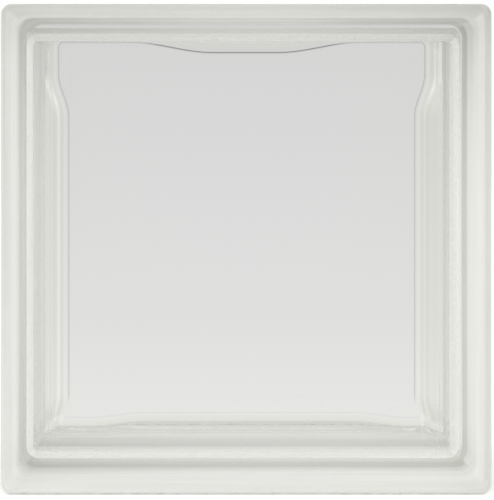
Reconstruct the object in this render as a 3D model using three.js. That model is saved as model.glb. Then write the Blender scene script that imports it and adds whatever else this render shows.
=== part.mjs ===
// Clear hollow glass block for walls and windows, in millimetres.
//
// The block is two pressed glass halves, each a square dish, fused rim to rim while hot.
// It stands on one side, as it is laid in a wall: X is its width, Y runs through it from
// the front face to the rear face, and Z is up. The origin is the middle of the footprint.

import * as THREE from "three";

// Overall sizes of a standard metric block.
const FACE_SIZE = 190; // width and height of each face
const BLOCK_DEPTH = 80; // front face to rear face

// The rim: the flat border of each side next to a face, which meets the neighbouring joint.
const RIM_WIDTH = 8; // along Y, its two rounded edges included
const RIM_EDGE_ROUND = 1; // between the face and the rim
const RIM_BACK_ROUND = 2; // between the rim and its sloping shoulder
const RIM_CORNER_RADIUS = 4; // of the block's outline, seen square on

// The mortar key: the channel that runs round all four sides between a rim and the seam.
const KEY_DEPTH = 4.2; // below the rim, at the foot of the shoulder
const KEY_RISE = 0.7; // how much shallower its floor is at the seam
const SHOULDER_RUN = 6.6; // how far along Y the shoulder takes to slope down into the key
const SHOULDER_ROUND = 4.7; // where the shoulder meets the key's floor
const KEY_CORNER_RADIUS = 3; // of the key's floor, seen square on

// The seam: the lip that the two halves squeeze up where they fuse.
const LIP_HEIGHT = 1.1; // above the key's floor
const LIP_WIDTH = 5; // across both halves
const LIP_SLOPE = 2.1; // how far along Y its flank takes to rise
const LIP_FOOT_ROUND = 1.5;
const LIP_EDGE_ROUND = 1;

// Glass thicknesses, and the cavity that the plunger leaves in each half.
const FACE_THICKNESS = 8;
const WALL_THICKNESS = 4.3; // under the key's floor, at the seam
const CAVITY_DRAFT_DEG = 5.4; // each cavity narrows from the seam towards its face
const CAVITY_BELLY = 1.3; // how far its walls hollow out halfway down
const BELLY_ROUND = 25;
const FRONT_CAVITY_ROUND = 6.2; // between the walls and the inside of the front face
const REAR_CAVITY_ROUND = 3.2; // between the walls and the inside of the rear face
const CAVITY_CORNER_RADIUS = 11; // of the cavity's upright edges

// The plunger stood a little off centre, and less so at the seam than at the faces.
const MOUTH_SHIFT = { x: -0.6, z: 1.6, lower: 0.4 }; // lower: less height than width, halved
const FOOT_SHIFT = { x: -1.8, z: 0, lower: 1.1 };

// The foot of each rear wall sagged inwards while the glass was hot, except near its corners.
const TOP_SAG = 3;
const SIDE_SAG = 4.5;
const BOTTOM_SAG = 2.2;
const SAG_SPAN = 95; // along each wall, all of which sagged in full
const SAG_REACH = 24; // how far beyond that the wall still sags, both along and towards the seam

// How finely round stretches are divided.
const ROUND_STEPS = 4; // on each small round of the section
const CAVITY_ROUND_STEPS = 7; // on the cavity's round
const WALL_STEPS = 3; // down the cavity's wall, below its hollow
const CORNER_STEPS = 5; // on each of the four corners, seen square on
const SIDE_STEPS = 12; // along each side, so that it can sag

const GLASS_TINT = 0xe9ede6;
const GLASS_ROUGHNESS = 0.02;

const halfDepth = BLOCK_DEPTH / 2;
const seamKeyDepth = KEY_DEPTH - KEY_RISE;
const mouthInset = seamKeyDepth + WALL_THICKNESS;
const cavityDepth = halfDepth - FACE_THICKNESS;
const draftOffset = cavityDepth * Math.tan(THREE.MathUtils.degToRad(CAVITY_DRAFT_DEG));
const lipInset = seamKeyDepth - LIP_HEIGHT;

// One corner of a half's section. inset is measured inwards from the block's side, and height
// from the seam's plane towards the face. planRadius and shift shape the square outline that
// passes through this corner, and round is the radius that the section has here.
function corner(inset, height, planRadius, { round = 0, steps = ROUND_STEPS, shift } = {}) {
  const { x: shiftX = 0, z: shiftZ = 0, lower = 0 } = shift ?? {};
  return { at: { inset, height, planRadius, shiftX, shiftZ, lower }, round, steps };
}

// The corner part of the way from one to another.
function between(a, b, share) {
  const keys = Object.keys(a);
  return Object.fromEntries(keys.map((k) => [k, THREE.MathUtils.lerp(a[k], b[k], share)]));
}

// The section of one pressed half, from the edge of the face round to the inside of the face.
function sectionCorners(cavityRound) {
  const footInset = mouthInset + draftOffset;
  const bellyInset = mouthInset + draftOffset / 2 - CAVITY_BELLY;
  const wall = [
    corner(bellyInset, cavityDepth / 2, CAVITY_CORNER_RADIUS, {
      round: BELLY_ROUND,
      shift: MOUTH_SHIFT,
    }),
    corner(footInset, cavityDepth, CAVITY_CORNER_RADIUS, {
      round: cavityRound,
      steps: CAVITY_ROUND_STEPS,
      shift: FOOT_SHIFT,
    }),
  ];
  const wallPoints = [];
  for (let step = 1; step <= WALL_STEPS; step++) {
    const share = (0.8 * step) / (WALL_STEPS + 1) + 0.1;
    wallPoints.push({ at: between(wall[0].at, wall[1].at, share), round: 0 });
  }
  return [
    corner(RIM_EDGE_ROUND, halfDepth, RIM_CORNER_RADIUS - RIM_EDGE_ROUND),
    corner(0, halfDepth, RIM_CORNER_RADIUS, { round: RIM_EDGE_ROUND }),
    corner(0, halfDepth - RIM_WIDTH, RIM_CORNER_RADIUS, { round: RIM_BACK_ROUND }),
    corner(KEY_DEPTH, halfDepth - RIM_WIDTH - SHOULDER_RUN, KEY_CORNER_RADIUS, {
      round: SHOULDER_ROUND,
    }),
    corner(seamKeyDepth, LIP_WIDTH / 2 + LIP_SLOPE, KEY_CORNER_RADIUS, {
      round: LIP_FOOT_ROUND,
    }),
    corner(lipInset, LIP_WIDTH / 2, KEY_CORNER_RADIUS, { round: LIP_EDGE_ROUND }),
    corner(lipInset, 0, KEY_CORNER_RADIUS),
    corner(mouthInset, 0, CAVITY_CORNER_RADIUS, { shift: MOUTH_SHIFT }),
    wall[0],
    ...wallPoints,
    wall[1],
    corner(footInset + cavityRound, cavityDepth, CAVITY_CORNER_RADIUS - cavityRound, {
      shift: FOOT_SHIFT,
    }),
  ];
}

// The points of a rounded corner: an arc that is tangent to both straights, on which the
// outline's other measures change evenly from one end to the other.
function roundedCorner(before, { at, round, steps }, after) {
  if (!round) return [at];
  const plane = ({ inset, height }) => new THREE.Vector2(inset, height);
  const here = plane(at);
  const towards = [before.at, after.at].map((v) => plane(v).sub(here));
  const halfAngle = Math.abs(towards[0].angleTo(towards[1])) / 2;
  const reach = round / Math.tan(halfAngle); // from the corner to each end of the arc
  const middle = towards[0].clone().normalize().add(towards[1].clone().normalize());
  const centre = middle.setLength(round / Math.sin(halfAngle)).add(here);
  const ends = [before.at, after.at].map((v, i) =>
    between(at, v, Math.min(1, reach / towards[i].length())),
  );
  const [start, end] = ends.map((v) => plane(v).sub(centre).angle());
  const clockwise = towards[0].cross(towards[1]) > 0;
  const arc = new THREE.EllipseCurve(
    centre.x, centre.y, round, round, start, end, clockwise,
  );
  return arc.getPoints(steps).map((p, i) => {
    return { ...between(ends[0], ends[1], i / steps), inset: p.x, height: p.y };
  });
}

// How far a wall sags in at a point: all of it within the span near its foot, and less with
// the distance from there.
function sagAt(sag, along, height, cavityRound) {
  const beside = Math.max(0, Math.abs(along) - SAG_SPAN / 2);
  const above = Math.max(0, cavityDepth - cavityRound - height);
  const closeness = Math.max(0, 1 - Math.hypot(beside, above) / SAG_REACH);
  return sag * THREE.MathUtils.smoothstep(closeness, 0, 1);
}

// A square outline with rounded corners, anticlockwise, whose sides sag inwards.
function squareOutline(ring, sags, cavityRound) {
  const reach = FACE_SIZE / 2 - ring.inset; // from the middle to each side
  const radius = ring.planRadius;
  const straightEnd = reach - radius;
  const points = [];
  for (let quarter = 0; quarter < 4; quarter++) {
    const turned = (p) => p.rotateAround(new THREE.Vector2(), (quarter * Math.PI) / 2);
    const rounded = new THREE.EllipseCurve(
      straightEnd, straightEnd, radius, radius, 0, Math.PI / 2,
    );
    points.push(...rounded.getPoints(CORNER_STEPS).map(turned));
    for (let step = 1; step < SIDE_STEPS; step++) {
      const along = straightEnd * (1 - (2 * step) / SIDE_STEPS);
      const sag = sagAt(sags[quarter], along, ring.height, cavityRound);
      points.push(turned(new THREE.Vector2(along, reach - sag)));
    }
  }
  const shift = new THREE.Vector2(ring.shiftX, ring.shiftZ);
  const squeeze = new THREE.Vector2(1, 1 - ring.lower / reach);
  return points.map((p) => p.multiply(squeeze).add(shift));
}

// A closed solid through all the outlines of the section, its two ends closed by flat faces.
// Y runs from the seam's plane towards the face.
function pressedHalfGeometry(cavityRound, sags) {
  const corners = sectionCorners(cavityRound);
  const section = corners.flatMap((c, i) => roundedCorner(corners[i - 1], c, corners[i + 1]));
  const seam = section.findIndex((ring) => ring.height === 0);
  const outlines = section.map((ring, i) =>
    squareOutline(ring, i > seam ? sags : [0, 0, 0, 0], cavityRound),
  );
  const count = outlines[0].length;
  const positions = outlines.flatMap((outline, i) =>
    outline.flatMap((p) => [p.x, section[i].height, p.y]),
  );
  const triangles = [];
  for (let ring = 0; ring + 1 < outlines.length; ring++) {
    for (let i = 0; i < count; i++) {
      const next = (i + 1) % count;
      const [a, b, c, d] = [i, next, next + count, i + count].map((v) => v + ring * count);
      triangles.push(a, b, c, a, c, d);
    }
  }
  const lastRing = (outlines.length - 1) * count;
  const [outerMiddle, innerMiddle] = [positions.length / 3, positions.length / 3 + 1];
  positions.push(0, halfDepth, 0, 0, cavityDepth, 0);
  for (let i = 0; i < count; i++) {
    const next = (i + 1) % count;
    triangles.push(outerMiddle, next, i);
    triangles.push(innerMiddle, lastRing + i, lastRing + next);
  }
  const geometry = new THREE.BufferGeometry();
  geometry.setAttribute("position", new THREE.Float32BufferAttribute(positions, 3));
  geometry.setIndex(triangles);
  return geometry;
}

const clearGlass = new THREE.MeshStandardMaterial({
  color: GLASS_TINT,
  roughness: GLASS_ROUGHNESS,
  metalness: 0,
});

// A half with its face towards the rear, or mirrored to face the front.
function pressedHalf(name, facing, cavityRound, sags) {
  const geometry = pressedHalfGeometry(cavityRound, sags);
  if (facing < 0) {
    geometry.scale(1, -1, 1);
    const order = geometry.index.array;
    for (let i = 0; i < order.length; i += 3) {
      [order[i], order[i + 1]] = [order[i + 1], order[i]];
    }
  }
  const mesh = new THREE.Mesh(geometry.toNonIndexed(), clearGlass);
  mesh.geometry.computeVertexNormals();
  mesh.name = name;
  mesh.position.z = FACE_SIZE / 2;
  return mesh;
}

const block = new THREE.Group();
block.add(pressedHalf("rear_half", 1, REAR_CAVITY_ROUND, [TOP_SAG, SIDE_SAG, BOTTOM_SAG, SIDE_SAG]));
block.add(pressedHalf("front_half", -1, FRONT_CAVITY_ROUND, [0, 0, 0, 0]));

export default block;
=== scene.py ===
"""A clear hollow glass block and the studio it stands in, built round the block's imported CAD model.

Lengths are in metres. X is the block's width, Y runs through it from the front face to the rear
face, and Z is up. The block stands on the floor with the middle of its footprint at the origin.
"""

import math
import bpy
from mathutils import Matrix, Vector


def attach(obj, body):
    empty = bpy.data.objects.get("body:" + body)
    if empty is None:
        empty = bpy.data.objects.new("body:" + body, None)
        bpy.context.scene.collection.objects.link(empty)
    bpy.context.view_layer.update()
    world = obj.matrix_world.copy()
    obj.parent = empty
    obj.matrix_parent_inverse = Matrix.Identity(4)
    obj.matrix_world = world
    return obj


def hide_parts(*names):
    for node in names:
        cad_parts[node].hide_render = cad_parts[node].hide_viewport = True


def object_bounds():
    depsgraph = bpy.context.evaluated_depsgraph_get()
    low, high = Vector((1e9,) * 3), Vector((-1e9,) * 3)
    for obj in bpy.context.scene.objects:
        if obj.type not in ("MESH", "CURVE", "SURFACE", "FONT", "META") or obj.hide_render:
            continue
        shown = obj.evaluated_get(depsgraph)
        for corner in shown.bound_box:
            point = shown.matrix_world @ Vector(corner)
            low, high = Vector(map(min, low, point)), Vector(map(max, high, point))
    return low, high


bl_info = {
    "name": "Hollow glass block",
    "version": (1, 0, 0),
    "blender": (4, 5, 0),
    "location": "3D View > Sidebar > Glass Block",
    "description": "Models a pressed hollow glass block and the light studio round it",
    "category": "Object",
}

import bmesh
import bpy
from bpy.props import FloatProperty, FloatVectorProperty, PointerProperty
from mathutils import Matrix, Vector

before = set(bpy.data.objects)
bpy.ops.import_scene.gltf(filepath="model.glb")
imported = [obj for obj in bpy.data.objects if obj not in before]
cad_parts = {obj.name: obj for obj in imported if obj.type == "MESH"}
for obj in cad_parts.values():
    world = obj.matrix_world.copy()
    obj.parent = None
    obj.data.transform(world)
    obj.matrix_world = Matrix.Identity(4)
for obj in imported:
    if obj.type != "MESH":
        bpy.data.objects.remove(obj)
CAD_BOX = [list(corner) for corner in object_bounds()]
MIDDLE = (Vector(CAD_BOX[0]) + Vector(CAD_BOX[1])) / 2
SIZE = Vector(CAD_BOX[1]) - Vector(CAD_BOX[0])

MM = 0.001
WHITE = (1, 1, 1, 1)

# How finely the block is modelled.
NEAR = 0.02 * MM  # how close a vertex lies to a place to count as there
CORNER_STEPS = 12  # on each corner of an outline
SIDE_STEPS = 48  # along each side of an outline
ROUND_STEPS = {  # across each round of the section
    "rim": 6, "shoulder": 8, "lip": 4, "facet": 6, "belly": 8, "bead foot": 4, "bead top": 3,
    "rear foot": 16,
}
SAG_CUTS = 5  # extra rings on each stretch of the cavity's rear walls, so that they sag smoothly
RIDGE_STEPS = 6  # across the fine ridge
FOLD = "fold"  # the attribute that marks the top of the fine ridge
ALONG_WALLS = (0.02, 1, 0.02)  # draws a pattern out along the four walls, fifty times its width

# Painted shade on each side's coating, front to rear: mostly lighter in front, darker behind the
# seam.
# The places are in millimetres from the middle.
COAT_SIDE_SHADE = {
    "left": (
        (-32, 0.97), (-31, 0.9), (-28.5, 0.9), (-27.5, 0.98), (-25, 1.0), (-17, 0.98), (-8, 0.94),
        (0, 0.91), (4, 0.85), (30, 0.89),
    ),
    "right": (
        (-32, 0.88), (-30.5, 0.8), (-29.3, 0.98), (-28.3, 1.0), (-27.3, 0.97), (-24, 0.98),
        (9, 1.0), (14, 0.78), (32, 0.8),
    ),
    "top": (
        (-32, 0.97), (-31, 0.81), (-27, 0.83), (-25, 1.0), (-18, 0.97), (-12, 0.84), (7, 0.88),
        (15, 0.95), (32, 0.88),
    ),
    "bottom": (
        (-32, 0.9), (-26, 0.9), (-22, 0.97), (0, 0.97), (3, 0.87), (5, 0.64), (9, 0.66), (13, 0.74),
        (20, 0.9), (32, 0.9),
    ),
}

# How bright the light tent is that glass shows, from straight below to straight above.
TENT = (
    (0.0, 0.74), (0.39, 0.81), (0.43, 0.75), (0.46, 0.73), (0.5, 0.70), (0.54, 0.67), (0.57, 0.64),
    (0.75, 0.66), (1.0, 0.70),
)
# How that changes from the tent's middle to its sides, where the first level leaves it as it is.
TENT_SIDES = (
    (0.0, 0.80), (0.22, 0.80), (0.32, 0.86), (0.45, 0.80), (0.51, 0.74), (0.56, 0.80), (0.61, 0.74),
    (0.66, 0.82), (0.71, 0.75), (0.76, 0.80), (0.82, 0.75), (0.88, 0.79), (0.92, 0.93),
)

FLOOR_SIZE = 6
FRAME_WIDTH, FRAME_HEIGHT = 494, 500  # of the picture, in pixels
FACE_WIDTH = 491.3  # of the front face in it, in pixels
FACE_MIDDLE = (246.35, 249.35)  # of the front face in it, in pixels from its upper left corner
SENSOR = 36  # in millimetres, across the longer side of the picture
LIGHT_BOUNCES = 64  # light wanders far inside the walls before it leaves them


def from_hex(code):
    """The linear colour that a screen colour such as "e9ede6" stands for."""
    channels = [int(code[i : i + 2], 16) / 255 for i in (0, 2, 4)]
    return tuple(c / 12.92 if c <= 0.04045 else ((c + 0.055) / 1.055) ** 2.4 for c in channels)


def length(name, description, millimetres, low=0.0):
    """A length property whose default is given in millimetres."""
    return FloatProperty(
        name=name, description=description, default=millimetres * MM, min=low, unit="LENGTH",
        precision=5,
    )


def offset(name, description, millimetres):
    """An offset property whose default is given in millimetres."""
    return FloatVectorProperty(
        name=name, description=description, default=[v * MM for v in millimetres], size=3,
        subtype="TRANSLATION", unit="LENGTH", precision=5,
    )


def share(name, description, default, high=1.0):
    """A property that is a share of a whole."""
    return FloatProperty(name=name, description=description, default=default, min=0, max=high)


def colour(name, description, code):
    """A colour property whose default is given as a screen colour."""
    return FloatVectorProperty(
        name=name, description=description, default=from_hex(code), size=3, min=0, max=1,
        subtype="COLOR",
    )


class BlockShape(bpy.types.PropertyGroup):
    """The sizes of the block: its CAD model's, with the cavity's feet and corners made finer."""

    rim_width: length("Rim width", "Flat border of each side beside a face", 8)
    rim_edge_round: length("Rim edge round", "Round between a face and the rim", 1)
    rim_back_round: length("Rim back round", "Round between the rim and its shoulder", 2)
    rim_corner: length("Rim corner", "Corner radius of the outline, seen square on", 4)
    key_depth: length("Key depth", "Mortar channel below the rim, at the shoulder", 4.2)
    key_rise: length("Key rise", "How much shallower the key is at the seam", 0.7)
    shoulder_run: length("Shoulder run", "Slope from the rim down into the key", 6.6)
    shoulder_round: length("Shoulder round", "Round where the shoulder meets the key's floor", 4.7)
    key_corner: length("Key corner", "Corner radius of the key's floor", 6)
    lip_height: length("Lip height", "Squeezed-up seam above the key's floor", 1.1)
    lip_width: length("Lip width", "Top of the seam's lip, across both halves", 5)
    lip_slope: length("Lip slope", "Run of the lip's flank", 2.1)
    lip_foot_round: length("Lip foot round", "Round at the foot of the lip", 1.5)
    lip_edge_round: length("Lip edge round", "Round at the top of the lip", 1)
    face_thickness: length("Face thickness", "Glass at each face", 8)
    wall_thickness: length("Wall thickness", "Glass under the key's floor, at the seam", 4.3)
    cavity_draft: FloatProperty(
        name="Cavity draft", description="Slope of the cavity's walls towards each face",
        default=math.radians(5.4), subtype="ANGLE",
    )
    belly: length("Belly", "How far the cavity's walls hollow out", 1.3)
    belly_round: length("Belly round", "Radius of the hollow", 25)
    bead_height: length("Bead height", "Seam bead inside the cavity", 0.1)
    bead_width: length("Bead width", "From the seam to each foot of its bead", 3.5)
    bead_top: length("Bead top", "From the seam to each edge of its bead's top", 1.05)
    bead_foot_round: length("Bead foot round", "Round at the foot of the bead", 2)
    bead_edge_round: length("Bead edge round", "Round at the top of the bead", 0.8)
    facet_width: length("Facet width", "Across the facet between a wall and the front face", 2.9)
    facet_depth: length("Facet depth", "Through the block, from the facet's foot to its head", 3.6)
    facet_round: length("Facet round", "Round at the facet's foot and head", 0.8)
    rear_round: length("Rear round", "Round between a cavity wall and the rear face", 3.2)
    foot_corner: length("Foot corner", "Corner radius of the facet's foot", 2.5)
    head_corner: length("Head corner", "Corner radius of the facet's head", 5)
    mouth_corner: length("Mouth corner", "Corner radius of the cavity's mouth", 3.5)
    rear_corner: length("Rear corner", "Corner radius of the cavity's rear foot", 5.5)
    mouth_shift: offset("Mouth shift", "How far the cavity's mouth is off centre", (-1.25, 0, 1.05))
    mouth_squeeze: offset("Mouth squeeze", "How much nearer the middle it ends", (-0.15, 0, 0.95))
    foot_shift: offset("Foot shift", "How far the facet's foot is off centre", (-1.75, 0, 0.75))
    foot_squeeze: offset("Foot squeeze", "How much nearer the middle it ends", (-0.15, 0, 1.35))
    head_shift: offset("Head shift", "How far the facet's head is off centre", (-1.35, 0, 0.55))
    head_squeeze: offset("Head squeeze", "How much nearer the middle it ends", (-0.45, 0, 1.25))
    rear_shift: offset("Rear shift", "How far the rear foot is off centre", (-1.8, 0, 2.8))
    rear_squeeze: offset("Rear squeeze", "How much nearer the middle it ends", (0, 0, -1.9))
    top_sag: length("Top sag", "How far the rear foot of the upper wall sagged down", 4.6)
    top_sag_span: length("Top sag span", "Along the middle of that wall, sagged in full", 30)
    top_sag_reach: length("Top sag reach", "How far beyond that span it still sags", 36)
    side_sag: length("Side sag", "How far the rear foot of a side wall sagged inwards", 4.5)
    side_sag_span: length("Side sag span", "Along that wall, sagged in full", 128)
    side_sag_reach: length("Side sag reach", "How far beyond that span it still sags", 18)
    side_sag_drop: length("Side sag drop", "How far that span is below the wall's middle", 9)
    bottom_sag: length("Bottom sag", "How far the rear foot of the lower wall sagged in", 2.2)
    bottom_sag_span: length("Bottom sag span", "Along the middle of that wall, sagged in full", 95)
    bottom_sag_reach: length("Bottom sag reach", "How far beyond that span it still sags", 24)
    ridge_height: length("Ridge height", "Fine ridge that the plunger's edge left on a face", 0.15)
    ridge_width: length("Ridge width", "Across that ridge", 1.2)


class GlassFinish(bpy.types.PropertyGroup):
    """What the glass and its coating are made of, how their surfaces came out, and the shade painted
    on them.
    """

    tint: colour("Tint", "What the body of the glass lets through", "e5e8db")
    tint_density: FloatProperty(
        name="Tint density", description="How strong the tint is, for each metre", default=2.7
    )
    ripple: length("Ripple", "Relief of the ripples along the walls", 0.09)
    ripple_width: length("Ripple width", "Across one ripple", 5)
    # Painted shade: a dark line painted into the glass along the top of the fine ridge round the
    # window.
    fold_shade: colour("Fold shade", "The glass along the sharpest of the fine ridge", "34342c")
    fold_shade_span: length("Fold span", "From the upper wall's middle, where the ridge is sharpest", 38)
    fold_shade_end: length("Fold end", "From that middle to where it is as sharp as beside", 55)
    side_fold_shade: share("Side fold", "How sharp the fine ridge is at the sides", 0.5)
    # Painted shadow: the floor's contact shadow painted on the lower arrises, in patches, with
    # rougher glass there.
    arris_shade_colour: colour("Dust", "What the scuffed lower arrises hold", "40403a")
    arris_shade_height: length("Scuff height", "Above the floor, where the scuffing ends", 1.1)
    full_arris_shade_height: length("Full scuff height", "Above the floor, where it is in full", 0.4)
    arris_shade_inset: length("Scuff inset", "In from a face, where the scuffing ends", 1.2)
    full_arris_shade_inset: length("Full scuff inset", "In from a face, where it is in full", 0.8)
    shade_patch_size: length("Scuff size", "Across one scuff", 4)
    arris_roughness: share("Scuff roughness", "How rough the glass is where it is scuffed", 0.5)
    coat: colour("Coat", "The white coating on the sides", "fbfbfa")
    # Painted shade: the dark end of the coating's painted shade seen through the glass, and the dust
    # in the hollows of its outer face.
    coat_shade_and_dust: colour("Coat shade", "The coating where it is thinnest", "808174")
    coat_outside: colour("Coat outside", "The dusty outer face of the coating", "ecece8")
    coat_edge: length("Coat edge", "From the rim's end back to where it starts", -0.8, low=-1)
    stroke_width: length("Stroke width", "Across one brush stroke", 6)
    stroke_depth: share("Stroke depth", "How much thicker or thinner the strokes make it", 0.3)
    grit_size: length("Grit size", "Across one grain in the coating", 1.5)
    coat_relief: length("Coat relief", "Relief of its strokes and grains", 0.1)
    # Painted shade towards the two upper corners of the coating.
    darken_start: length("Thin start", "Up and across from the middle, where it starts to thin", 110)
    darken_end: length("Thin end", "Up and across from the middle, where it is thinnest", 185)
    right_darkening: share("Right loss", "How much thinner it is at the upper right corner", 0.14)
    left_darkening: share("Left loss", "How much thinner it is at the upper left corner", 0.04)


class StudioSetup(bpy.types.PropertyGroup):
    """The floor, the light and the camera."""

    floor_colour: colour("Floor colour", "The plain floor and backdrop", "f7f7f5")
    floor_glow: share("Floor glow", "How much brighter the camera sees the floor", 0.06)
    cloth_colour: colour("Cloth colour", "The light tent's cloth, except straight ahead", "fffff8")
    light_level: share("Light level", "Light on matt surfaces from all round", 1.07, high=2)
    key_light: FloatVectorProperty(
        name="Key light", description="How much more light comes from this direction", size=3,
        default=(-0.1, -0.25, 0.25),
    )
    overhead_loss: share("Overhead loss", "How much less light comes from above and below", 0.2)
    camera_distance: length("Camera distance", "From the camera to the front face", 485)
    camera_rise: length("Camera rise", "Above the middle of the block", 42)
    camera_side: length("Camera side", "To the right of the block's middle", -1.8, low=-1)


# ---------------------------------------------------------------- mesh work, in edit mode


def select_where(wanted, kind="VERT"):
    """Selects the vertices, edges or faces of the edited mesh that pass a test, and no others."""
    bpy.ops.mesh.select_mode(type=kind)
    bpy.ops.mesh.select_all(action="DESELECT")
    edited = bpy.context.edit_object.data
    mesh = bmesh.from_edit_mesh(edited)
    parts = {"VERT": mesh.verts, "EDGE": mesh.edges, "FACE": mesh.faces}[kind]
    chosen = [part for part in parts if wanted(part)]
    if not chosen:
        raise RuntimeError("there is nothing to select")
    for part in chosen:
        part.select = True
    mesh.select_flush_mode()
    bmesh.update_edit_mesh(edited)


def at_depth(y):
    """A test for edges that lie at depth y."""
    return lambda edge: all(abs(v.co.y - y) < NEAR for v in edge.verts)


class Ring:
    """A square outline with rounded corners, at one depth of the block."""

    def __init__(self, y, reach, corner, round_, kind, shift=(0, 0, 0), squeeze=(0, 0, 0)):
        self.y, self.reach, self.corner = y, reach, corner
        self.round, self.kind = round_, kind  # of the section, where it passes this ring
        self.shift, self.squeeze = Vector(shift), Vector(squeeze)  # off centre, and made smaller
        self.straight = reach - corner  # from the middle to the start of a corner's arc


def draw_ring(name, ring):
    """Adds a square outline with rounded corners and leaves it selected in edit mode."""
    bpy.ops.object.select_all(action="DESELECT")
    bpy.ops.mesh.primitive_plane_add(
        size=2 * ring.reach, location=(0, ring.y, MIDDLE.z), rotation=(math.pi / 2, 0, 0)
    )
    bpy.ops.object.transform_apply(location=True, rotation=True, scale=True)
    piece = bpy.context.object
    piece.name = piece.data.name = name
    bpy.ops.object.mode_set(mode="EDIT")
    bpy.ops.mesh.select_all(action="SELECT")
    bpy.ops.mesh.delete(type="ONLY_FACE")
    select_where(lambda v: True)
    bpy.ops.mesh.bevel(
        affect="VERTICES", offset=ring.corner, segments=CORNER_STEPS, profile=0.5,
        clamp_overlap=False,
    )
    select_where(lambda edge: edge.calc_length() > ring.straight, "EDGE")
    bpy.ops.mesh.subdivide(number_cuts=SIDE_STEPS - 1)
    bpy.ops.mesh.select_all(action="SELECT")
    return piece


def extrude_ring(last, ring):
    """Extrudes the selected outline to the next ring's depth, size and corner radius."""
    bpy.ops.mesh.extrude_region_move(TRANSFORM_OT_translate={"value": (0, ring.y - last.y, 0)})
    if (ring.reach, ring.corner) != (last.reach, last.corner):
        inner, outer = last.straight - NEAR, last.reach - NEAR
        along, across = ring.straight / last.straight, ring.reach / last.reach
        axis = (0, ring.y, MIDDLE.z)

        def select_here(wanted):
            select_where(
                lambda v: abs(v.co.y - ring.y) < NEAR and wanted(v.co.x, v.co.z - MIDDLE.z)
            )

        step, grow = ring.straight - last.straight, ring.corner / last.corner
        for side in (-1, 1):
            for up in (-1, 1):
                select_here(lambda x, z: side * x > inner and up * z > inner)
                middle = (side * last.straight, ring.y, MIDDLE.z + up * last.straight)
                bpy.ops.transform.resize(value=(grow, 1, grow), center_override=middle)
                bpy.ops.transform.translate(value=(side * step, 0, up * step))
        select_here(lambda x, z: abs(x) < inner and abs(z) > outer)
        bpy.ops.transform.resize(value=(along, 1, across), center_override=axis)
        select_here(lambda x, z: abs(z) < inner and abs(x) > outer)
        bpy.ops.transform.resize(value=(across, 1, along), center_override=axis)
    select_where(at_depth(ring.y), "EDGE")


def round_section(rings):
    """Bevels each ring, where the section turns at it, by its own radius."""
    inwards = 10 * MM  # any way along an end's flat face, to find the section's angle beside it
    ends = [(r.y, r.reach - inwards) for r in (rings[0], rings[-1])]
    path = [ends[0], *((r.y, r.reach) for r in rings), ends[1]]
    for i, ring in enumerate(rings):
        here = Vector(path[i + 1])
        half_angle = (Vector(path[i]) - here).angle(Vector(path[i + 2]) - here) / 2
        select_where(at_depth(ring.y), "EDGE")
        bpy.ops.mesh.bevel(
            affect="EDGES", offset_type="OFFSET", offset=ring.round / math.tan(half_angle),
            segments=ROUND_STEPS[ring.kind], profile=0.5, clamp_overlap=False, loop_slide=True,
        )


def model_shell(name, rings):
    """A closed shell through the rings, with a flat face at each end, left in edit mode."""
    shell = draw_ring(name, rings[0])
    bpy.ops.mesh.edge_face_add()
    select_where(at_depth(rings[0].y), "EDGE")
    for last, ring in zip(rings, rings[1:]):
        extrude_ring(last, ring)
    bpy.ops.mesh.edge_face_add()
    for ring in rings:
        if ring.shift.length or ring.squeeze.length:
            select_where(at_depth(ring.y), "EDGE")
            wide, high = (1 - amount / ring.reach for amount in (ring.squeeze.x, ring.squeeze.z))
            bpy.ops.transform.resize(value=(wide, 1, high), center_override=MIDDLE)
            bpy.ops.transform.translate(value=ring.shift)
    round_section(rings)
    bpy.ops.mesh.select_all(action="SELECT")
    bpy.ops.mesh.normals_make_consistent(inside=False)
    return shell


def mirrored(front):
    """The rings of the front half, then those of the rear half, which is the same."""
    return front + [Ring(-r.y, r.reach, r.corner, r.round, r.kind) for r in reversed(front)]


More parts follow.
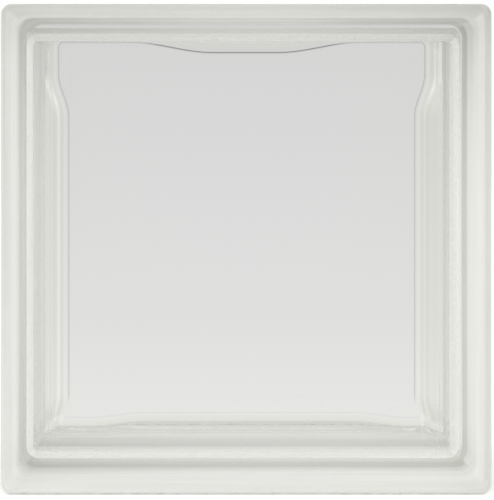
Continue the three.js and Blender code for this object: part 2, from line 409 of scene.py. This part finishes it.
class GLASSBLOCK_OT_block(bpy.types.Operator):
    """Model the fused glass block: its outer skin with the mortar key, and its sealed cavity"""

    bl_idname = "glassblock.block"
    bl_label = "Glass block"

    def execute(self, context):
        shape = context.scene.block_shape
        finish = context.scene.glass_finish
        glass, coat = pressed_glass(finish), side_coat(finish)
        outer = model_shell("block", mirrored(self.outer_rings(shape)))
        bpy.ops.object.mode_set(mode="OBJECT")
        outer.data.materials.append(glass)
        outer.data.materials.append(coat)
        self.coat_sides(outer, SIZE.y / 2 - shape.rim_width - finish.coat_edge)
        cavity = model_shell("cavity", self.cavity_rings(shape))
        cavity.data.materials.append(glass)
        bpy.ops.geometry.attribute_add(name=FOLD, domain="POINT", data_type="FLOAT")
        self.sag_rear_walls(shape)
        self.raise_ridge(shape)
        bpy.ops.mesh.select_all(action="SELECT")
        bpy.ops.mesh.flip_normals()  # the cavity's faces point into it, away from the glass
        bpy.ops.object.mode_set(mode="OBJECT")
        outer.select_set(True)
        cavity.select_set(True)
        context.view_layer.objects.active = outer
        bpy.ops.object.join()
        bpy.ops.object.shade_smooth()
        weighted = outer.modifiers.new("Flat faces stay flat", "WEIGHTED_NORMAL")
        weighted.mode = "FACE_AREA"
        weighted.weight = 100  # the largest face at a vertex decides
        bpy.ops.object.modifier_apply(modifier=weighted.name)
        outer.name = outer.data.name = "fused_glass_block"
        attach(outer, "root")
        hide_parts("front_half", "rear_half")
        return {"FINISHED"}

    def outer_rings(self, shape):
        """From the front face to the seam, over the rim, the shoulder, the key and the lip."""
        face, side = -SIZE.y / 2, SIZE.x / 2
        rim_end = face + shape.rim_width
        key = side - shape.key_depth
        seam_key = key + shape.key_rise
        lip = shape.lip_width / 2
        corner = shape.key_corner
        return [
            Ring(face, side, shape.rim_corner, shape.rim_edge_round, "rim"),
            Ring(rim_end, side, shape.rim_corner, shape.rim_back_round, "rim"),
            Ring(rim_end + shape.shoulder_run, key, corner, shape.shoulder_round, "shoulder"),
            Ring(-lip - shape.lip_slope, seam_key, corner, shape.lip_foot_round, "lip"),
            Ring(-lip, seam_key + shape.lip_height, corner, shape.lip_edge_round, "lip"),
        ]

    def coat_sides(self, outer, limit):
        """Gives the key, the lip and the shoulders, up to a depth, the second material."""
        outer.active_material_index = 1
        bpy.ops.object.mode_set(mode="EDIT")
        select_where(lambda face: abs(face.calc_center_median().y) < limit, "FACE")
        bpy.ops.object.material_slot_assign()
        bpy.ops.object.mode_set(mode="OBJECT")

    def cavity_rings(self, shape):
        """From the inside of the front face, past the seam, to the inside of the rear face."""
        mouth = SIZE.x / 2 - shape.key_depth + shape.key_rise - shape.wall_thickness
        slope = math.tan(shape.cavity_draft)
        foot = SIZE.y / 2 - shape.face_thickness
        head = foot - shape.facet_depth
        head_reach = mouth - head * slope

        def placed(place, y, reach, round_, kind):
            """A ring with the corner, shift and squeeze that the shape gives for its place."""
            corner, shift, squeeze = (
                getattr(shape, place + part) for part in ("_corner", "_shift", "_squeeze")
            )
            return Ring(y, reach, corner, round_, kind, shift, squeeze)

        def wall(side):
            hollow, bead, top = foot / 2, shape.bead_width, shape.bead_top
            hollowed = mouth - hollow * slope + shape.belly
            flush = mouth - bead * slope
            raised = mouth - shape.bead_height
            return [
                placed("mouth", side * hollow, hollowed, shape.belly_round, "belly"),
                placed("mouth", side * bead, flush, shape.bead_foot_round, "bead foot"),
                placed("mouth", side * top, raised, shape.bead_edge_round, "bead top"),
            ]

        return [
            placed("foot", -foot, head_reach - shape.facet_width, shape.facet_round, "facet"),
            placed("head", -head, head_reach, shape.facet_round, "facet"),
            *wall(-1),
            *wall(1)[::-1],
            placed("rear", foot, mouth - foot * slope, shape.rear_round, "rear foot"),
        ]

    def sag_rear_walls(self, shape):
        """Sags the foot of each rear wall inwards, all along it except at its two corners."""
        foot = SIZE.y / 2 - shape.face_thickness
        round_start = foot - shape.rear_round
        for y in (foot / 4, foot * 3 / 4):  # a depth on each stretch between rings
            select_where(
                lambda edge: (edge.verts[0].co.y - y) * (edge.verts[1].co.y - y) < 0, "EDGE"
            )
            bpy.ops.mesh.subdivide(number_cuts=SAG_CUTS)
        top = (shape.top_sag, shape.top_sag_span, shape.top_sag_reach, 0)
        sides = (shape.side_sag, shape.side_sag_span, shape.side_sag_reach, shape.side_sag_drop)
        bottom = (shape.bottom_sag, shape.bottom_sag_span, shape.bottom_sag_reach, 0)
        for side, (sag, span, reach, drop) in enumerate((top, sides, bottom, sides)):
            turn = Matrix.Rotation(side * math.pi / 2, 3, "Y")
            out = turn @ Vector((0, 0, 1))
            along = turn @ Vector((1, 0, 0))
            select_where(
                lambda v: v.co.y > round_start - NEAR
                and (v.co - MIDDLE).dot(out) > SIZE.x / 3
                and abs((v.co - MIDDLE + Vector((0, 0, drop))).dot(along)) < span / 2
            )
            bpy.ops.transform.translate(
                value=-out * sag,
                use_proportional_edit=True,
                proportional_edit_falloff="SMOOTH",
                proportional_size=reach,
            )

    def raise_ridge(self, shape):
        """Insets the inside of the rear face and lifts the fine ridge that runs round it."""
        rear = SIZE.y / 2 - shape.face_thickness
        select_where(
            lambda face: len(face.verts) > 4 and abs(face.calc_center_median().y - rear) < NEAR,
            "FACE",
        )
        heights = [math.sin(math.pi * i / RIDGE_STEPS) ** 2 for i in range(RIDGE_STEPS + 1)]
        for last, height in zip(heights, heights[1:]):
            bpy.ops.mesh.inset(thickness=shape.ridge_width / RIDGE_STEPS)
            rise = (height - last) * shape.ridge_height
            bpy.ops.transform.translate(value=(0, -rise, 0))
            bpy.ops.mesh.attribute_set(value_float=height)


# ---------------------------------------------------------------- materials


def node_adder(tree):
    """A function that adds a node to a node tree.

    It takes the node's type, its inputs, the stops of its ramp and its settings by name. An
    input given as a socket is linked, and any other value is set on the input itself. A stop is
    a place and a level of grey.
    """

    def add(kind, inputs=(), stops=(), **settings):
        node = tree.nodes.new(kind)
        for key, value in settings.items():
            setattr(node, key, value)
        for key, value in dict(inputs).items():
            if isinstance(value, bpy.types.NodeSocket):
                tree.links.new(value, node.inputs[key])
            else:
                node.inputs[key].default_value = value
        for i, (place, level) in enumerate(stops):
            ramp = node.color_ramp.elements
            stop = ramp[i] if i < len(ramp) else ramp.new(place)
            stop.position = place
            stop.color = (level, level, level, 1)
        return node

    return add


def new_material(name):
    """An empty node material, and the function that adds a node to it."""
    material = bpy.data.materials.new(name)
    material.use_nodes = True
    material.node_tree.nodes.clear()
    return material, node_adder(material.node_tree)


def pressed_glass(finish):
    """Soda-lime glass, pressed and fire-polished: clear and rippled, a little green where thick, with
    a painted dark line along the ridge round the window and painted shadow on the lower arrises.
    """
    glass, add = new_material("Pressed soda-lime glass")
    place = add("ShaderNodeTexCoord").outputs["Object"]
    x, y, z = add("ShaderNodeSeparateXYZ", {0: place}).outputs
    # Ripples run along the walls, where the glass chilled against the mould as it was pressed.
    ripples = add("ShaderNodeMapping", {"Vector": place, "Scale": ALONG_WALLS})
    ripples = add(
        "ShaderNodeTexNoise",
        {"Vector": ripples.outputs[0], "Scale": 1 / finish.ripple_width, "Detail": 0.0},
    )
    relief = add(
        "ShaderNodeBump", {"Height": ripples.outputs[0], "Distance": finish.ripple, "Strength": 1.0}
    )
    # Painted shade: a dark line along the top of the fine ridge, darkest along the middle of the
    # upper wall, less dark at the sides and none along the lower wall.
    upper_wall, lower_wall = 165 * MM, 20 * MM  # the heights at which they begin and end
    middle = add("ShaderNodeMath", {0: x}, operation="ABSOLUTE")
    middle = add(
        "ShaderNodeMapRange",
        {"Value": middle.outputs[0], "From Min": finish.fold_shade_end, "From Max": finish.fold_shade_span},
    )
    high = add(
        "ShaderNodeMapRange", {"Value": z, "From Min": upper_wall, "From Max": upper_wall + 2 * MM}
    )
    dark = add(
        "ShaderNodeMath", {0: middle.outputs[0], 1: high.outputs[0]}, operation="MULTIPLY"
    )
    beside = add(
        "ShaderNodeMapRange",
        {
            "Value": z,
            "From Min": lower_wall,
            "From Max": lower_wall + 5 * MM,
            "To Max": finish.side_fold_shade,
        },
    )
    dark = add(
        "ShaderNodeMath", {0: dark.outputs[0], 1: beside.outputs[0]}, operation="MAXIMUM"
    )
    fold = add("ShaderNodeAttribute", attribute_name=FOLD)
    fold = add(
        "ShaderNodeMath", {0: fold.outputs["Fac"], 1: dark.outputs[0]}, operation="MULTIPLY"
    )
    clear = add(
        "ShaderNodeMix",
        {"Factor": fold.outputs[0], "A": WHITE, "B": (*finish.fold_shade, 1)},
        data_type="RGBA",
    )
    # Painted shadow: the arrises that stand on the floor are darkened in patches where the floor's
    # contact shadow falls, and the glass is rougher there.
    near_floor = add(
        "ShaderNodeMapRange",
        {"Value": z, "From Min": finish.arris_shade_height, "From Max": finish.full_arris_shade_height},
    )
    outermost = add("ShaderNodeMath", {0: y}, operation="ABSOLUTE")
    outermost = add(
        "ShaderNodeMapRange",
        {
            "Value": outermost.outputs[0],
            "From Min": SIZE.y / 2 - finish.arris_shade_inset,
            "From Max": SIZE.y / 2 - finish.full_arris_shade_inset,
        },
    )
    shade_patches = add(
        "ShaderNodeTexNoise", {"Vector": place, "Scale": 1 / finish.shade_patch_size, "Detail": 3.0}
    )
    shade_patches = add(
        "ShaderNodeMath", {0: near_floor.outputs[0], 1: shade_patches.outputs[0]}, operation="MULTIPLY"
    )
    arris_shading = add(
        "ShaderNodeMath", {0: shade_patches.outputs[0], 1: outermost.outputs[0]}, operation="MULTIPLY"
    )
    clear = add(
        "ShaderNodeMix",
        {"Factor": arris_shading.outputs[0], "A": clear.outputs["Result"], "B": (*finish.arris_shade_colour, 1)},
        data_type="RGBA",
    )
    roughness = add(
        "ShaderNodeMath", {0: arris_shading.outputs[0], 1: finish.arris_roughness}, operation="MULTIPLY"
    )
    surface = add(
        "ShaderNodeBsdfPrincipled",
        {
            "Base Color": clear.outputs["Result"],
            "Roughness": roughness.outputs[0],
            "IOR": 1.52,
            "Transmission Weight": 1.0,
            "Normal": relief.outputs[0],
        },
    )
    body = add(
        "ShaderNodeVolumeAbsorption", {"Color": (*finish.tint, 1), "Density": finish.tint_density}
    )
    add(
        "ShaderNodeOutputMaterial",
        {"Surface": surface.outputs["BSDF"], "Volume": body.outputs["Volume"]},
    )
    return glass


def side_coat(finish):
    """White latex paint with grit, laid on the sides with a brush: matt, uneven from stroke to
    stroke, and with painted shade that differs by side and depth.
    """
    coat, add = new_material("White side coating")
    place = add("ShaderNodeTexCoord").outputs["Object"]
    x, y, z = add("ShaderNodeSeparateXYZ", {0: place}).outputs
    up = add("ShaderNodeMath", {0: z, 1: MIDDLE.z}, operation="SUBTRACT").outputs[0]
    left, down = (
        add("ShaderNodeMath", {0: way, 1: -1}, operation="MULTIPLY").outputs[0] for way in (x, up)
    )

    # Painted shade: each side has its own level along its depth, up to the mitres at its corners,
    # where two sides blend.
    half = SIZE.y / 2
    depth = add("ShaderNodeMapRange", {"Value": y, "From Min": -half, "From Max": half})
    blend = MM
    shade = 0.0
    for name, ahead, across in (
        ("left", left, up), ("right", x, up), ("top", up, x), ("bottom", down, x),
    ):
        across = add("ShaderNodeMath", {0: across}, operation="ABSOLUTE")
        past = add("ShaderNodeMath", {0: ahead, 1: across.outputs[0]}, operation="SUBTRACT")
        side = add(
            "ShaderNodeMapRange", {"Value": past.outputs[0], "From Min": -blend, "From Max": blend}
        )
        stops = [((y_mm * MM + half) / SIZE.y, level) for y_mm, level in COAT_SIDE_SHADE[name]]
        side_shade = add("ShaderNodeValToRGB", {0: depth.outputs[0]}, stops)
        shade = add(
            "ShaderNodeMath",
            {0: side.outputs[0], 1: side_shade.outputs[0], 2: shade},
            operation="MULTIPLY_ADD",
        ).outputs[0]
    # Painted shade: it is darker towards the two upper corners, and more towards the right one.
    for way, loss in ((x, finish.right_darkening), (left, finish.left_darkening)):
        corner = add("ShaderNodeMath", {0: up, 1: way}).outputs[0]
        darken = add(
            "ShaderNodeMapRange",
            {
                "Value": corner,
                "From Min": finish.darken_start,
                "From Max": finish.darken_end,
                "To Max": -loss,
            },
        )
        shade = add("ShaderNodeMath", {0: shade, 1: darken.outputs[0]}).outputs[0]
    # Brush strokes run along each side: their width is across it, along Y.
    strokes = add("ShaderNodeMapping", {"Vector": place, "Scale": ALONG_WALLS})
    strokes = add(
        "ShaderNodeTexNoise",
        {
            "Vector": strokes.outputs[0],
            "Scale": 1 / finish.stroke_width,
            "Detail": 3.0,
            "Roughness": 0.6,
        },
    ).outputs[0]
    uneven = add(
        "ShaderNodeMapRange",
        {"Value": strokes, "To Min": 1 - finish.stroke_depth, "To Max": 1 + finish.stroke_depth},
    )
    shade = add("ShaderNodeMath", {0: shade, 1: uneven.outputs[0]}, operation="MULTIPLY")
    # The face bonded to the glass takes the painted shade, from the shade colour up to the white.
    bonded = add(
        "ShaderNodeMix",
        {"Factor": shade.outputs[0], "A": (*finish.coat_shade_and_dust, 1), "B": (*finish.coat, 1)},
        data_type="RGBA",
    )
    # The face that is bonded to the glass stays clean, and the outer one is gritty and dusty.
    # The grains are drawn coarser than real sand, so that they show. Together with the strokes,
    # the noise runs from about 0.7 to 1.25, and dust lies in its hollows.
    grit = add(
        "ShaderNodeTexNoise", {"Vector": place, "Scale": 1 / finish.grit_size, "Detail": 2.0}
    ).outputs[0]
    mottled = add("ShaderNodeMath", {0: strokes, 1: grit}, operation="ADD").outputs[0]
    dusty = add(
        "ShaderNodeMapRange",
        {"Value": mottled, "From Min": 0.7, "From Max": 1.25, "To Min": 0.55, "To Max": 1.0},
    )
    dusty = add(
        "ShaderNodeMix",
        {"Factor": dusty.outputs[0], "A": (*finish.coat_shade_and_dust, 1), "B": (*finish.coat_outside, 1)},
        data_type="RGBA",
    )
    colours = add(
        "ShaderNodeMix",
        {
            "Factor": add("ShaderNodeNewGeometry").outputs["Backfacing"],
            "A": dusty.outputs["Result"],
            "B": bonded.outputs["Result"],
        },
        data_type="RGBA",
    )
    roughness = add("ShaderNodeMapRange", {"Value": mottled, "To Min": 0.4, "To Max": 0.8})
    relief = add("ShaderNodeBump", {"Height": mottled, "Distance": finish.coat_relief})
    surface = add(
        "ShaderNodeBsdfPrincipled",
        {
            "Base Color": colours.outputs["Result"],
            "Roughness": roughness.outputs[0],
            "Specular IOR Level": 0.1,
            "Normal": relief.outputs[0],
        },
    )
    add("ShaderNodeOutputMaterial", {"Surface": surface.outputs["BSDF"]})
    return coat


class GLASSBLOCK_OT_studio(bpy.types.Operator):
    """Set out the plain floor, the soft light and the camera"""

    bl_idname = "glassblock.studio"
    bl_label = "Light studio"

    def execute(self, context):
        setup = context.scene.studio_setup
        self.lay_floor(setup)
        self.light(context, setup)
        self.place_camera(context, setup)
        context.scene.view_settings.view_transform = "Standard"
        cycles = context.scene.cycles
        cycles.blur_glossy = 0  # or the coat seen through the glass loses a third of its light
        cycles.max_bounces = cycles.transmission_bounces = LIGHT_BOUNCES
        cycles.glossy_bounces = cycles.diffuse_bounces = LIGHT_BOUNCES
        cycles.min_light_bounces = LIGHT_BOUNCES
        return {"FINISHED"}

    def lay_floor(self, setup):
        """A sheet of pale paper that holds the shadow; glass shows the tent in its place."""
        bpy.ops.object.select_all(action="DESELECT")
        bpy.ops.mesh.primitive_plane_add(size=FLOOR_SIZE, location=(0, 0, 0))
        floor = bpy.context.object
        floor.name = "floor"
        paper, add = new_material("Pale paper")
        path = add("ShaderNodeLightPath")
        diffuse = add("ShaderNodeBsdfDiffuse", {"Color": (*setup.floor_colour, 1)})
        glow = add(
            "ShaderNodeMath",
            {0: path.outputs["Is Camera Ray"], 1: setup.floor_glow},
            operation="MULTIPLY",
        )
        glow = add("ShaderNodeEmission", {"Strength": glow.outputs[0]})
        paper_seen = add("ShaderNodeAddShader", {0: diffuse.outputs[0], 1: glow.outputs[0]})
        beyond = add("ShaderNodeBsdfTransparent")
        through = add(
            "ShaderNodeMath",
            {0: path.outputs["Is Glossy Ray"], 1: path.outputs["Is Transmission Ray"]},
            operation="MAXIMUM",
        )
        seen = add(
            "ShaderNodeMixShader",
            {0: through.outputs[0], 1: paper_seen.outputs[0], 2: beyond.outputs[0]},
        )
        add("ShaderNodeOutputMaterial", {"Surface": seen.outputs[0]})
        floor.data.materials.append(paper)

    def light(self, context, setup):
        """A light tent: glass shows its cloth, and matt surfaces get its nearly even light."""
        world = bpy.data.worlds.new("Light tent")
        context.scene.world = world
        world.use_nodes = True
        world.node_tree.nodes.clear()
        add = node_adder(world.node_tree)
        path = add("ShaderNodeLightPath")
        direction = add("ShaderNodeTexCoord").outputs["Generated"]
        sideways, ahead, upwards = add("ShaderNodeSeparateXYZ", {0: direction}).outputs
        # The cloth, as glass shows it: its level, and cream except straight ahead and behind.
        height = add("ShaderNodeMapRange", {"Value": upwards, "From Min": -1})
        tent = add("ShaderNodeValToRGB", {0: height.outputs[0]}, TENT)
        sideways = add("ShaderNodeMath", {0: sideways}, operation="ABSOLUTE")
        sides = add("ShaderNodeValToRGB", {0: sideways.outputs[0]}, TENT_SIDES)
        tent = add(
            "ShaderNodeMath", {0: tent.outputs[0], 1: sides.outputs[0]}, operation="MULTIPLY"
        )
        middle_level = TENT_SIDES[0][1]
        tent = add(
            "ShaderNodeMath", {0: tent.outputs[0], 1: 1 / middle_level}, operation="MULTIPLY"
        )
        ahead = add("ShaderNodeMath", {0: ahead}, operation="ABSOLUTE")
        cream = add(
            "ShaderNodeMapRange", {"Value": ahead.outputs[0], "From Min": 1.0, "From Max": 0.9}
        )
        cloth = add(
            "ShaderNodeMix",
            {"Factor": cream.outputs[0], "A": WHITE, "B": (*setup.cloth_colour, 1)},
            data_type="RGBA",
        )
        tent = add(
            "ShaderNodeVectorMath",
            {0: cloth.outputs["Result"], "Scale": tent.outputs[0]},
            operation="SCALE",
        )
        # The light on matt surfaces: a little stronger from the key side, weaker from overhead.
        towards = add(
            "ShaderNodeVectorMath", {0: direction, 1: setup.key_light}, operation="DOT_PRODUCT"
        )
        lit = add("ShaderNodeMath", {0: towards.outputs["Value"], 1: setup.light_level})
        steep = add("ShaderNodeMath", {0: upwards, 1: upwards}, operation="MULTIPLY")
        lit = add(
            "ShaderNodeMath",
            {0: steep.outputs[0], 1: -setup.overhead_loss, 2: lit.outputs[0]},
            operation="MULTIPLY_ADD",
        )
        # Which of the two a ray gets. The camera itself sees a white backdrop.
        spread = add(
            "ShaderNodeMath", {0: path.outputs["Diffuse Depth"], 1: 0.5}, operation="GREATER_THAN"
        )
        spread = add(
            "ShaderNodeMath",
            {0: spread.outputs[0], 1: path.outputs["Is Diffuse Ray"]},
            operation="MAXIMUM",
        )
        shown = add(
            "ShaderNodeMix",
            {"Factor": spread.outputs[0], "A": tent.outputs[0], "B": lit.outputs[0]},
            data_type="RGBA",
        )
        seen = add(
            "ShaderNodeMix",
            {"Factor": path.outputs["Is Camera Ray"], "A": shown.outputs["Result"], "B": WHITE},
            data_type="RGBA",
        )
        background = add("ShaderNodeBackground", {"Color": seen.outputs["Result"]})
        add("ShaderNodeOutputWorld", {"Surface": background.outputs[0]})
        world.cycles.sampling_method = "NONE"  # the light has no bright spot to look for

    def place_camera(self, context, setup):
        """A level camera in front of the block, its film shifted to frame the block square on."""
        camera = bpy.data.cameras.new("camera")
        seen = bpy.data.objects.new("camera", camera)
        context.collection.objects.link(seen)
        context.scene.camera = seen
        seen.location = (
            setup.camera_side,
            -SIZE.y / 2 - setup.camera_distance,
            MIDDLE.z + setup.camera_rise,
        )
        seen.rotation_euler = (math.pi / 2, 0, 0)
        scale = FACE_WIDTH / SIZE.x  # pixels for each metre of the front face
        aside = -setup.camera_side * scale + FRAME_WIDTH / 2 - FACE_MIDDLE[0]
        above = -setup.camera_rise * scale - FRAME_HEIGHT / 2 + FACE_MIDDLE[1]
        camera.sensor_width = SENSOR
        camera.lens = SENSOR * scale * setup.camera_distance / FRAME_HEIGHT
        camera.shift_x = aside / FRAME_HEIGHT
        camera.shift_y = above / FRAME_HEIGHT


class GLASSBLOCK_PT_panel(bpy.types.Panel):
    """Lists the block's sizes and finish, and the buttons that make it"""

    bl_label = "Glass Block"
    bl_idname = "GLASSBLOCK_PT_panel"
    bl_space_type = "VIEW_3D"
    bl_region_type = "UI"
    bl_category = "Glass Block"

    def draw(self, context):
        for title, group, operator in (
            ("Shape", context.scene.block_shape, GLASSBLOCK_OT_block),
            ("Finish", context.scene.glass_finish, None),
            ("Studio", context.scene.studio_setup, GLASSBLOCK_OT_studio),
        ):
            box = self.layout.box()
            box.label(text=title)
            for name in group.__annotations__:
                box.prop(group, name)
            if operator:
                box.operator(operator.bl_idname)


CLASSES = (
    BlockShape,
    GlassFinish,
    StudioSetup,
    GLASSBLOCK_OT_block,
    GLASSBLOCK_OT_studio,
    GLASSBLOCK_PT_panel,
)


def register():
    for cls in CLASSES:
        bpy.utils.register_class(cls)
    bpy.types.Scene.block_shape = PointerProperty(type=BlockShape)
    bpy.types.Scene.glass_finish = PointerProperty(type=GlassFinish)
    bpy.types.Scene.studio_setup = PointerProperty(type=StudioSetup)


def unregister():
    del bpy.types.Scene.studio_setup
    del bpy.types.Scene.glass_finish
    del bpy.types.Scene.block_shape
    for cls in reversed(CLASSES):
        bpy.utils.unregister_class(cls)


def main():
    register()
    bpy.ops.glassblock.block()
    bpy.ops.glassblock.studio()


if __name__ == "__main__":
    main()
